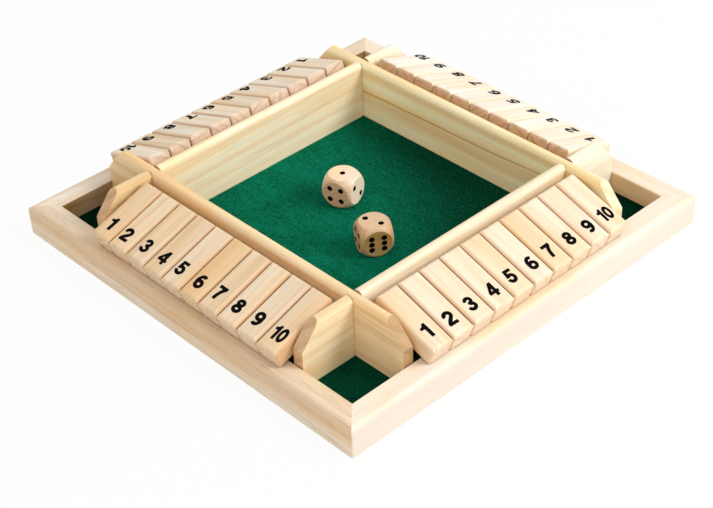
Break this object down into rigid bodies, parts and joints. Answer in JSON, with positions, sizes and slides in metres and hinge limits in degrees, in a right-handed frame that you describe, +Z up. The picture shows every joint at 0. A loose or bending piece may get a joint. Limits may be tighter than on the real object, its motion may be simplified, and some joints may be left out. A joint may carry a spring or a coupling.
{
  "type": "shut the box game",
  "caption": "Square wooden tray game with a felted dice pit in the middle and rows of hinged number tiles on all four sides, with loose wooden dice.",
  "frame": {"origin": "middle of the underside, on the table", "axes": "+Z up. +X to the right and +Y to the back as seen by the player at the front row, whose tiles are the front_tile nodes"},
  "size_m": [0.222, 0.222, 0.0352],
  "materials": {
    "frame_pine": "smooth sanded pale pine, unvarnished",
    "wall_pine": "smooth sanded pale pine with marked grain",
    "base_board": "plain thin plywood panel",
    "rod_wood": "plain dowel",
    "tile_wood": "smooth pale wood with black printed numbers",
    "felt": "short-fibred green felt",
    "die_wood": "pale turned wood with black painted pips"
  },
  "bodies": {
    "tray": {"front_rail": "frame_pine", "right_rail": "frame_pine", "back_rail": "frame_pine", "left_rail": "frame_pine", "base_panel": "base_board", "felt_lining": "felt", "front_wall": "wall_pine", "back_wall": "wall_pine", "left_wall": "wall_pine", "right_wall": "wall_pine", "front_left_end_board": "wall_pine", "front_right_end_board": "wall_pine", "back_left_end_board": "wall_pine", "back_right_end_board": "wall_pine", "front_rod": "rod_wood", "right_rod": "rod_wood", "back_rod": "rod_wood", "left_rod": "rod_wood"},
    "front_tile_1": {"front_tile_1": "tile_wood"},
    "front_tile_2": {"front_tile_2": "tile_wood"},
    "front_tile_3": {"front_tile_3": "tile_wood"},
    "front_tile_4": {"front_tile_4": "tile_wood"},
    "front_tile_5": {"front_tile_5": "tile_wood"},
    "front_tile_6": {"front_tile_6": "tile_wood"},
    "front_tile_7": {"front_tile_7": "tile_wood"},
    "front_tile_8": {"front_tile_8": "tile_wood"},
    "front_tile_9": {"front_tile_9": "tile_wood"},
    "front_tile_10": {"front_tile_10": "tile_wood"},
    "right_tile_1": {"right_tile_1": "tile_wood"},
    "right_tile_2": {"right_tile_2": "tile_wood"},
    "right_tile_3": {"right_tile_3": "tile_wood"},
    "right_tile_4": {"right_tile_4": "tile_wood"},
    "right_tile_5": {"right_tile_5": "tile_wood"},
    "right_tile_6": {"right_tile_6": "tile_wood"},
    "right_tile_7": {"right_tile_7": "tile_wood"},
    "right_tile_8": {"right_tile_8": "tile_wood"},
    "right_tile_9": {"right_tile_9": "tile_wood"},
    "right_tile_10": {"right_tile_10": "tile_wood"},
    "back_tile_1": {"back_tile_1": "tile_wood"},
    "back_tile_2": {"back_tile_2": "tile_wood"},
    "back_tile_3": {"back_tile_3": "tile_wood"},
    "back_tile_4": {"back_tile_4": "tile_wood"},
    "back_tile_5": {"back_tile_5": "tile_wood"},
    "back_tile_6": {"back_tile_6": "tile_wood"},
    "back_tile_7": {"back_tile_7": "tile_wood"},
    "back_tile_8": {"back_tile_8": "tile_wood"},
    "back_tile_9": {"back_tile_9": "tile_wood"},
    "back_tile_10": {"back_tile_10": "tile_wood"},
    "left_tile_1": {"left_tile_1": "tile_wood"},
    "left_tile_2": {"left_tile_2": "tile_wood"},
    "left_tile_3": {"left_tile_3": "tile_wood"},
    "left_tile_4": {"left_tile_4": "tile_wood"},
    "left_tile_5": {"left_tile_5": "tile_wood"},
    "left_tile_6": {"left_tile_6": "tile_wood"},
    "left_tile_7": {"left_tile_7": "tile_wood"},
    "left_tile_8": {"left_tile_8": "tile_wood"},
    "left_tile_9": {"left_tile_9": "tile_wood"},
    "left_tile_10": {"left_tile_10": "tile_wood"},
    "die_one": {"die_one": "die_wood"},
    "die_two": {"die_two": "die_wood"}
  },
  "joints": [
    {"name": "front_tile_1_hinge", "type": "hinge", "parent": "tray", "child": "front_tile_1", "pos_m": [-0.05597, -0.08325, 0.0272], "axis": [-1, 0, 0], "range_deg": [0, 153.7]},
    {"name": "front_tile_2_hinge", "type": "hinge", "parent": "tray", "child": "front_tile_2", "pos_m": [-0.04342, -0.08325, 0.0272], "axis": [-1, 0, 0], "range_deg": [0, 153.7]},
    {"name": "front_tile_3_hinge", "type": "hinge", "parent": "tray", "child": "front_tile_3", "pos_m": [-0.03087, -0.08325, 0.0272], "axis": [-1, 0, 0], "range_deg": [0, 153.7]},
    {"name": "front_tile_4_hinge", "type": "hinge", "parent": "tray", "child": "front_tile_4", "pos_m": [-0.01833, -0.08325, 0.0272], "axis": [-1, 0, 0], "range_deg": [0, 153.7]},
    {"name": "front_tile_5_hinge", "type": "hinge", "parent": "tray", "child": "front_tile_5", "pos_m": [-0.00577, -0.08325, 0.0272], "axis": [-1, 0, 0], "range_deg": [0, 153.7]},
    {"name": "front_tile_6_hinge", "type": "hinge", "parent": "tray", "child": "front_tile_6", "pos_m": [0.00677, -0.08325, 0.0272], "axis": [-1, 0, 0], "range_deg": [0, 153.7]},
    {"name": "front_tile_7_hinge", "type": "hinge", "parent": "tray", "child": "front_tile_7", "pos_m": [0.01932, -0.08325, 0.0272], "axis": [-1, 0, 0], "range_deg": [0, 153.7]},
    {"name": "front_tile_8_hinge", "type": "hinge", "parent": "tray", "child": "front_tile_8", "pos_m": [0.03188, -0.08325, 0.0272], "axis": [-1, 0, 0], "range_deg": [0, 153.7]},
    {"name": "front_tile_9_hinge", "type": "hinge", "parent": "tray", "child": "front_tile_9", "pos_m": [0.04442, -0.08325, 0.0272], "axis": [-1, 0, 0], "range_deg": [0, 153.7]},
    {"name": "front_tile_10_hinge", "type": "hinge", "parent": "tray", "child": "front_tile_10", "pos_m": [0.05697, -0.08325, 0.0272], "axis": [-1, 0, 0], "range_deg": [0, 153.7]},
    {"name": "right_tile_1_hinge", "type": "hinge", "parent": "tray", "child": "right_tile_1", "pos_m": [0.08325, -0.05588, 0.0272], "axis": [0, -1, 0], "range_deg": [0, 153.7]},
    {"name": "right_tile_2_hinge", "type": "hinge", "parent": "tray", "child": "right_tile_2", "pos_m": [0.08325, -0.04333, 0.0272], "axis": [0, -1, 0], "range_deg": [0, 153.7]},
    {"name": "right_tile_3_hinge", "type": "hinge", "parent": "tray", "child": "right_tile_3", "pos_m": [0.08325, -0.03078, 0.0272], "axis": [0, -1, 0], "range_deg": [0, 153.7]},
    {"name": "right_tile_4_hinge", "type": "hinge", "parent": "tray", "child": "right_tile_4", "pos_m": [0.08325, -0.01823, 0.0272], "axis": [0, -1, 0], "range_deg": [0, 153.7]},
    {"name": "right_tile_5_hinge", "type": "hinge", "parent": "tray", "child": "right_tile_5", "pos_m": [0.08325, -0.00568, 0.0272], "axis": [0, -1, 0], "range_deg": [0, 153.7]},
    {"name": "right_tile_6_hinge", "type": "hinge", "parent": "tray", "child": "right_tile_6", "pos_m": [0.08325, 0.00688, 0.0272], "axis": [0, -1, 0], "range_deg": [0, 153.7]},
    {"name": "right_tile_7_hinge", "type": "hinge", "parent": "tray", "child": "right_tile_7", "pos_m": [0.08325, 0.01943, 0.0272], "axis": [0, -1, 0], "range_deg": [0, 153.7]},
    {"name": "right_tile_8_hinge", "type": "hinge", "parent": "tray", "child": "right_tile_8", "pos_m": [0.08325, 0.03198, 0.0272], "axis": [0, -1, 0], "range_deg": [0, 153.7]},
    {"name": "right_tile_9_hinge", "type": "hinge", "parent": "tray", "child": "right_tile_9", "pos_m": [0.08325, 0.04453, 0.0272], "axis": [0, -1, 0], "range_deg": [0, 153.7]},
    {"name": "right_tile_10_hinge", "type": "hinge", "parent": "tray", "child": "right_tile_10", "pos_m": [0.08325, 0.05708, 0.0272], "axis": [0, -1, 0], "range_deg": [0, 153.7]},
    {"name": "back_tile_1_hinge", "type": "hinge", "parent": "tray", "child": "back_tile_1", "pos_m": [0.05647, 0.08325, 0.0272], "axis": [1, 0, 0], "range_deg": [0, 153.7]},
    {"name": "back_tile_2_hinge", "type": "hinge", "parent": "tray", "child": "back_tile_2", "pos_m": [0.04392, 0.08325, 0.0272], "axis": [1, 0, 0], "range_deg": [0, 153.7]},
    {"name": "back_tile_3_hinge", "type": "hinge", "parent": "tray", "child": "back_tile_3", "pos_m": [0.03138, 0.08325, 0.0272], "axis": [1, 0, 0], "range_deg": [0, 153.7]},
    {"name": "back_tile_4_hinge", "type": "hinge", "parent": "tray", "child": "back_tile_4", "pos_m": [0.01883, 0.08325, 0.0272], "axis": [1, 0, 0], "range_deg": [0, 153.7]},
    {"name": "back_tile_5_hinge", "type": "hinge", "parent": "tray", "child": "back_tile_5", "pos_m": [0.00628, 0.08325, 0.0272], "axis": [1, 0, 0], "range_deg": [0, 153.7]},
    {"name": "back_tile_6_hinge", "type": "hinge", "parent": "tray", "child": "back_tile_6", "pos_m": [-0.00628, 0.08325, 0.0272], "axis": [1, 0, 0], "range_deg": [0, 153.7]},
    {"name": "back_tile_7_hinge", "type": "hinge", "parent": "tray", "child": "back_tile_7", "pos_m": [-0.01883, 0.08325, 0.0272], "axis": [1, 0, 0], "range_deg": [0, 153.7]},
    {"name": "back_tile_8_hinge", "type": "hinge", "parent": "tray", "child": "back_tile_8", "pos_m": [-0.03138, 0.08325, 0.0272], "axis": [1, 0, 0], "range_deg": [0, 153.7]},
    {"name": "back_tile_9_hinge", "type": "hinge", "parent": "tray", "child": "back_tile_9", "pos_m": [-0.04392, 0.08325, 0.0272], "axis": [1, 0, 0], "range_deg": [0, 153.7]},
    {"name": "back_tile_10_hinge", "type": "hinge", "parent": "tray", "child": "back_tile_10", "pos_m": [-0.05647, 0.08325, 0.0272], "axis": [1, 0, 0], "range_deg": [0, 153.7]},
    {"name": "left_tile_1_hinge", "type": "hinge", "parent": "tray", "child": "left_tile_1", "pos_m": [-0.08325, 0.05568, 0.0272], "axis": [0, 1, 0], "range_deg": [0, 153.7]},
    {"name": "left_tile_2_hinge", "type": "hinge", "parent": "tray", "child": "left_tile_2", "pos_m": [-0.08325, 0.04312, 0.0272], "axis": [0, 1, 0], "range_deg": [0, 153.7]},
    {"name": "left_tile_3_hinge", "type": "hinge", "parent": "tray", "child": "left_tile_3", "pos_m": [-0.08325, 0.03058, 0.0272], "axis": [0, 1, 0], "range_deg": [0, 153.7]},
    {"name": "left_tile_4_hinge", "type": "hinge", "parent": "tray", "child": "left_tile_4", "pos_m": [-0.08325, 0.01802, 0.0272], "axis": [0, 1, 0], "range_deg": [0, 153.7]},
    {"name": "left_tile_5_hinge", "type": "hinge", "parent": "tray", "child": "left_tile_5", "pos_m": [-0.08325, 0.00547, 0.0272], "axis": [0, 1, 0], "range_deg": [0, 153.7]},
    {"name": "left_tile_6_hinge", "type": "hinge", "parent": "tray", "child": "left_tile_6", "pos_m": [-0.08325, -0.00707, 0.0272], "axis": [0, 1, 0], "range_deg": [0, 153.7]},
    {"name": "left_tile_7_hinge", "type": "hinge", "parent": "tray", "child": "left_tile_7", "pos_m": [-0.08325, -0.01963, 0.0272], "axis": [0, 1, 0], "range_deg": [0, 153.7]},
    {"name": "left_tile_8_hinge", "type": "hinge", "parent": "tray", "child": "left_tile_8", "pos_m": [-0.08325, -0.03218, 0.0272], "axis": [0, 1, 0], "range_deg": [0, 153.7]},
    {"name": "left_tile_9_hinge", "type": "hinge", "parent": "tray", "child": "left_tile_9", "pos_m": [-0.08325, -0.04473, 0.0272], "axis": [0, 1, 0], "range_deg": [0, 153.7]},
    {"name": "left_tile_10_hinge", "type": "hinge", "parent": "tray", "child": "left_tile_10", "pos_m": [-0.08325, -0.05727, 0.0272], "axis": [0, 1, 0], "range_deg": [0, 153.7]},
    {"name": "die_one_lift", "type": "slide", "parent": "tray", "child": "die_one", "axis": [0, 0, 1], "range_m": [0, 0.06]},
    {"name": "die_two_lift", "type": "slide", "parent": "tray", "child": "die_two", "axis": [0, 0, 1], "range_m": [0, 0.06]}
  ]
}
